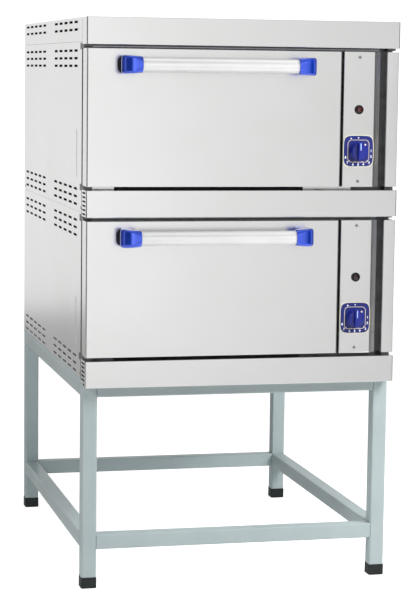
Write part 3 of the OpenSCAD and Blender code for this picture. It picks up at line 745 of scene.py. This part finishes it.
plates = bmesh.new()
plate_rims = bmesh.new()
rings = bmesh.new()
digits = bmesh.new()
for level in LEVELS:
    z = BAY_Z[level] + KNOB_RISE
    loft(plates, [[(COLUMN_X + u, y, z + v) for u, v in outline(w, w, 5, 96)]
                  for w, y in ((83, 0), (83, -1.2), (81.5, -1.5))])
    flat_ring(plate_rims, COLUMN_X, z, outline(84, 84, 5, 96), outline(81, 81, 5, 96),
              0, -1.9)
    flat_ring(rings, COLUMN_X, z, round_rect(59.5, 59.5, 11, 8), round_rect(57.3, 57.3, 9.9, 8),
              -1.4, -1.75)
    for i, (across, up) in enumerate(DIGIT_PLACES):
        add_digit(digits, str(i + 1), COLUMN_X + across, -1.6, z + up)
    # Off mark at the top, a second mark beside it, and a dot at each step of the lower half
    for across, up, radius in ((0, 35.0, 1.7), (-20.5, 33.0, 1.8)):
        turned(digits, COLUMN_X + across, z + up, ((radius, -1.4), (radius, -1.75)), 12)
    for across, up in ((-24.5, -26.5), (-10, -28.5), (11, -28.5), (25.5, -25.5)):
        turned(rings, COLUMN_X + across, z + up, ((1.5, -1.4), (1.5, -1.8)), 12)
close(plates, "dial_faces", OVEN, "dial_blue", stands_for=["dial_plates"])
close(plate_rims, "dial_rims", OVEN, "dial_blue", RIM_CREAM)
close(rings, "dial_rings", OVEN, "dial_blue", PRINT_GOLD)
close(digits, "dial_digits", OVEN, "dial_blue", PRINT_WHITE)

for level in LEVELS:
    z = BAY_Z[level] + KNOB_RISE
    knob = bmesh.new()
    turned(knob, COLUMN_X, z, ((24.2, -2), (25, -2.8), (25, -5.6), (24.2, -7), (22.4, -7.8),
                               (21.4, -8.6), (20.6, -13.6), (19.6, -14.8), (18, -15.3)))
    loft(knob, [[(COLUMN_X + u, y, z + v) for u, v in outline(w, h, 6, 48)]
                for w, h, y in ((15, 47, -7.5), (14.2, 46.6, -14), (12.6, 46, -21),
                                (11.8, 45.2, -23.2), (9.8, 43, -24))])
    close(knob, level + "_knob_moulded", level + "_knob", "knob_blue",
          stands_for=[level + "_knob"])
    line = bmesh.new()
    loft(line, [[(COLUMN_X + u, y, z + POINTER_RISE + v) for u, v in outline(w, h, 4, 24)]
                for w, h, y in ((2.9, 20, -23.8), (2.9, 20, -24.2), (2.5, 19.6, -24.3))])
    close(line, level + "_knob_line", level + "_knob", "knob_blue", POINTER_BLUE)
    pin = bmesh.new()
    turned(pin, COLUMN_X + PEG_AT[0], z + PEG_AT[1],
           ((2.6, -6), (2.6, -9), (1.9, -9.9), (0.6, -10.3)), 20)
    close(pin, level + "_knob_pin", level + "_knob", "knob_blue", PEG_PALE_YELLOW)

    z = BAY_Z[level] + LAMP_RISE
    bezel = bmesh.new()
    turned(bezel, COLUMN_X, z, ((12.25, 0), (12.25, -1.6), (11.7, -2.8), (10.6, -3.5),
                                (9.2, -3.5), (8.4, -2.6), (8.3, 18), (10.8, 18), (10.8, 0)),
           around=True)
    close(bezel, level + "_lamp_bezel", OVEN, "black_plastic",
          stands_for=[level + "_pilot_lamp"])
    lens = bmesh.new()
    turned(lens, COLUMN_X, z, ((8.2, 4), (8.2, -2.6), (7.8, -3.8), (6.6, -4.9), (4.6, -5.6),
                               (2.2, -5.95), (0.4, -6)), 48)
    close(lens, level + "_lamp_lens", OVEN, "black_plastic", LENSES[level])

# ---------------------------------------------------------------- feet

LEG_X = 399
LEG_YS = (63, 1079)
# Width and height up the outside, with a groove above the sole, and down inside to the leg's end
FOOT_WALL = ((38, 0), (41, 0.8), (42, 2.5), (42, 9), (41.2, 9.6), (41.2, 10.6), (42, 11.2),
             (42, 28.8), (41.2, 30), (40.2, 30), (40.2, 6.1))
feet = bmesh.new()
for side in SIDES:
    for y in LEG_YS:
        loft(feet, [[(side * LEG_X + u, y + v, z) for u, v in round_rect(w, w, 4.2)]
                    for w, z in FOOT_WALL])
close(feet, "foot_caps_moulded", OVEN, "foot_plastic", stands_for=["foot_caps"])

# ---------------------------------------------------------------- gaskets

MOUTH_X = -79
MOUTH_W = 538
MOUTH_H = 290
MOUTH_RISE = 42
# Bulb section of the ring round the chamber's mouth: how far out it lies, and its y
BULB = ((2, 63), (2, 62.2), (3, 61), (5, 60.5), (7, 60.4), (9, 60.5), (11, 61), (12, 62.2),
        (12, 63))
# Section of the dark rubber strip that darkens the middle of the gap below each door, with a soft
# top edge: y, and rise above the bay's edge
DARK_GAP_STRIP = ((45.2, 0.1), (45.2, 4.4), (46.2, 5.8), (48, 6.4), (57, 8.8), (60, 8.2), (60.9, 6.6),
       (60.9, 0.1))
DARK_GAP_STRIP_ENDS = (-332, 170)
gaskets = bmesh.new()
for level in LEVELS:
    mouth_z = BAY_Z[level] + MOUTH_RISE + MOUTH_H / 2
    loft(gaskets, [[(MOUTH_X + u, y, mouth_z + v)
                    for u, v in round_rect(MOUTH_W + 2 * out, MOUTH_H + 2 * out, 4 + out, 6)]
                   for out, y in BULB], around=True)
    loft(gaskets, [[(x, y, BAY_Z[level] + rise) for y, rise in DARK_GAP_STRIP] for x in DARK_GAP_STRIP_ENDS])
close(gaskets, "gaskets_extruded", OVEN, "gasket_rubber", stands_for=["gaskets"])

# ---------------------------------------------------------------- trays

TRAY_W = 530
TRAY_L = 470
TRAY_FRONT = 75
TRAY_RISE = 104
TRAY_CORNER = 26
# Inset from the tray's outline, and height above its base: outside, rolled rim, inside
TRAY_WALL = ((14, 0), (10, 0.8), (7, 3), (3, 20), (2.6, 22.4), (0.4, 22.8), (0, 23.8),
             (0.4, 24.8), (1.6, 25), (4, 24.6), (5, 21), (8.8, 4.4), (11.2, 2.2), (15, 1.4))
trays = bmesh.new()
for level in LEVELS:
    z = BAY_Z[level] + TRAY_RISE
    loft(trays, [[(MOUTH_X + u, TRAY_FRONT + TRAY_L / 2 + v, z + rise)
                  for u, v in round_rect(TRAY_W - 2 * inset, TRAY_L - 2 * inset,
                                         TRAY_CORNER - inset, 6)]
                 for inset, rise in TRAY_WALL])
close(trays, "baking_trays_pressed", OVEN, "tray_steel", stands_for=["baking_trays"])

# ---------------------------------------------------------------- cable gland

GLAND_X = 300
GLAND_Z = 627
GRIPS = 18
GRIP_SWELL = 0.35
# Radius and y from the flange over the nut to its bore, and 1 where the nut's grips swell it
GLAND_ROWS = ((17, 1083.5, 0), (17, 1087.4, 0), (13, 1087.6, 0), (12.9, 1089, 1),
              (12.9, 1094.5, 1), (12.2, 1096.5, 1), (10.4, 1098.1, 0), (9, 1098.5, 0),
              (6.5, 1098.5, 0), (6.5, 1071.2, 0), (10, 1071.2, 0), (10, 1083.5, 0))
turns = [2 * math.pi * i / (4 * GRIPS) for i in range(4 * GRIPS)]
nut = bmesh.new()
loft(nut, [[(GLAND_X + (radius + gripped * GRIP_SWELL * math.cos(GRIPS * a)) * math.cos(a), y,
             GLAND_Z + (radius + gripped * GRIP_SWELL * math.cos(GRIPS * a)) * math.sin(a))
            for a in turns] for radius, y, gripped in GLAND_ROWS], around=True)
close(nut, "cable_gland_moulded", OVEN, "black_plastic", stands_for=["cable_gland"])

# ---------------------------------------------------------------- studio

# The floor in metres: half its width, and how far it reaches behind the oven
FLOOR_HALF = 3.5
FLOOR_BACK = 5.6
floor_mesh = bpy.data.meshes.new("studio_floor")
floor_mesh.from_pydata([(-FLOOR_HALF, -FLOOR_HALF, 0), (FLOOR_HALF, -FLOOR_HALF, 0),
                        (FLOOR_HALF, FLOOR_BACK, 0), (-FLOOR_HALF, FLOOR_BACK, 0)], [],
                       [(0, 1, 2, 3)])
floor_mesh.materials.append(FLOOR_PAINT)
floor = bpy.data.objects.new("studio_floor", floor_mesh)
scene.collection.objects.link(floor)

# Brightness of the studio round the oven, by compass angle in degrees: 0 is in front of the
# doors, 90 to the right. Softboxes stand in front and a white backdrop behind.
STUDIO = ((-180, 0.6), (-145, 0.6), (-128, 0.08), (-106, 0.08), (-98, 0.4), (-88, 0.4),
          (-80, 0.06), (-26, 0.05), (-8, 1.0), (1, 0.92), (9, 0.72), (17, 0.53), (44, 0.2),
          (54, 0.02), (80, 0.02), (92, 0.4), (106, 0.4), (122, 0.66), (180, 0.6))
# Strength of the studio in gloss, in soft light, and of the white backdrop itself
IN_GLOSS = 1.5
AMBIENT = 0.55
BACKDROP = 1.2
world = bpy.data.worlds.new("studio")
scene.world = world
world.use_nodes = True
sky = world.node_tree
sky.nodes.clear()
toward = add_node(sky, "ShaderNodeTexCoord")
split = add_node(sky, "ShaderNodeSeparateXYZ", {}, {"Vector": toward.outputs["Generated"]})
ahead = add_node(sky, "ShaderNodeMath", {"operation": "MULTIPLY", 1: -1.0},
                 {0: split.outputs["Y"]})
compass = add_node(sky, "ShaderNodeMath", {"operation": "ARCTAN2"},
                   {0: split.outputs["X"], 1: ahead.outputs[0]})
share = add_node(sky, "ShaderNodeMapRange",
                 {"From Min": -math.pi, "From Max": math.pi, "To Min": 0.0, "To Max": 1.0},
                 {"Value": compass.outputs[0]})
round_studio = add_node(sky, "ShaderNodeValToRGB", {}, {"Fac": share.outputs["Result"]})
stops = round_studio.color_ramp.elements
while len(stops) < len(STUDIO):
    stops.new(0.5)
for stop, (angle, brightness) in zip(stops, STUDIO):
    stop.position = angle / 360 + 0.5
    stop.color = (brightness, brightness, brightness, 1)
# Above the softboxes the studio is dark, and right overhead hangs a pale ceiling
ceiling = add_node(sky, "ShaderNodeMapRange",
                   {"From Min": 0.8, "From Max": 0.95, "To Min": 0.2, "To Max": 0.6},
                   {"Value": split.outputs["Z"]})
overhead = add_node(sky, "ShaderNodeMapRange",
                    {"From Min": 0.35, "From Max": 0.55, "To Min": 0.0, "To Max": 1.0},
                    {"Value": split.outputs["Z"]})
dome = add_node(sky, "ShaderNodeMix", {"data_type": "RGBA"},
                {0: overhead.outputs["Result"], 6: round_studio.outputs["Color"],
                 7: ceiling.outputs["Result"]})
path = add_node(sky, "ShaderNodeLightPath")
strength = add_node(sky, "ShaderNodeMapRange", {"To Min": IN_GLOSS, "To Max": AMBIENT},
                    {"Value": path.outputs["Is Diffuse Ray"]})
lit = add_node(sky, "ShaderNodeBackground", {}, {"Color": dome.outputs[2],
                                                 "Strength": strength.outputs["Result"]})
white = add_node(sky, "ShaderNodeBackground", {"Strength": BACKDROP, "Color": (1, 1, 1, 1)})
shown = add_node(sky, "ShaderNodeMixShader", {}, {0: path.outputs["Is Camera Ray"],
                                                  1: lit.outputs[0], 2: white.outputs[0]})
add_node(sky, "ShaderNodeOutputWorld", {}, {"Surface": shown.outputs[0]})


def add_softbox(name, compass_deg, height_deg, distance, size, power):
    """A square softbox that looks at the middle of the oven and stays out of its gloss."""
    light = bpy.data.lights.new(name, "AREA")
    light.size = size
    light.energy = power
    box = bpy.data.objects.new(name, light)
    turn = math.radians(compass_deg)
    lift = math.radians(height_deg)
    away = Vector((math.sin(turn) * math.cos(lift), -math.cos(turn) * math.cos(lift),
                   math.sin(lift)))
    box.location = OVEN_MIDDLE + away * distance
    box.rotation_mode = "QUATERNION"
    box.rotation_quaternion = away.to_track_quat("Z", "Y")
    box.visible_camera = False
    box.visible_glossy = False
    scene.collection.objects.link(box)


OVEN_MIDDLE = Vector((0, 0, 0.9))
add_softbox("key_left", -64, 26, 4.5, 1.6, 72)
add_softbox("fill_right", 42, 26, 2.5, 1.2, 68)

# ---------------------------------------------------------------- camera

# The camera stands to the left of the oven at chest height: the turn of its view to the right,
# its tilt up, and its roll, all in degrees, and its place in metres
VIEW_TURN = 13.5296
VIEW_TILT = -6.5193
VIEW_ROLL = 0.7243
VIEW_PLACE = (-1.32, -5.6096, 1.369)
camera_data = bpy.data.cameras.new("camera")
camera_data.lens = 120.756
camera_data.sensor_width = 36
camera_data.clip_end = 200
camera = bpy.data.objects.new("camera", camera_data)
camera.matrix_world = (Matrix.Translation(VIEW_PLACE)
                       @ Matrix.Rotation(math.radians(-VIEW_TURN), 4, "Z")
                       @ Matrix.Rotation(math.radians(90 + VIEW_TILT), 4, "X")
                       @ Matrix.Rotation(math.radians(VIEW_ROLL), 4, "Z"))
scene.collection.objects.link(camera)
scene.camera = camera
scene.view_settings.view_transform = "Standard"
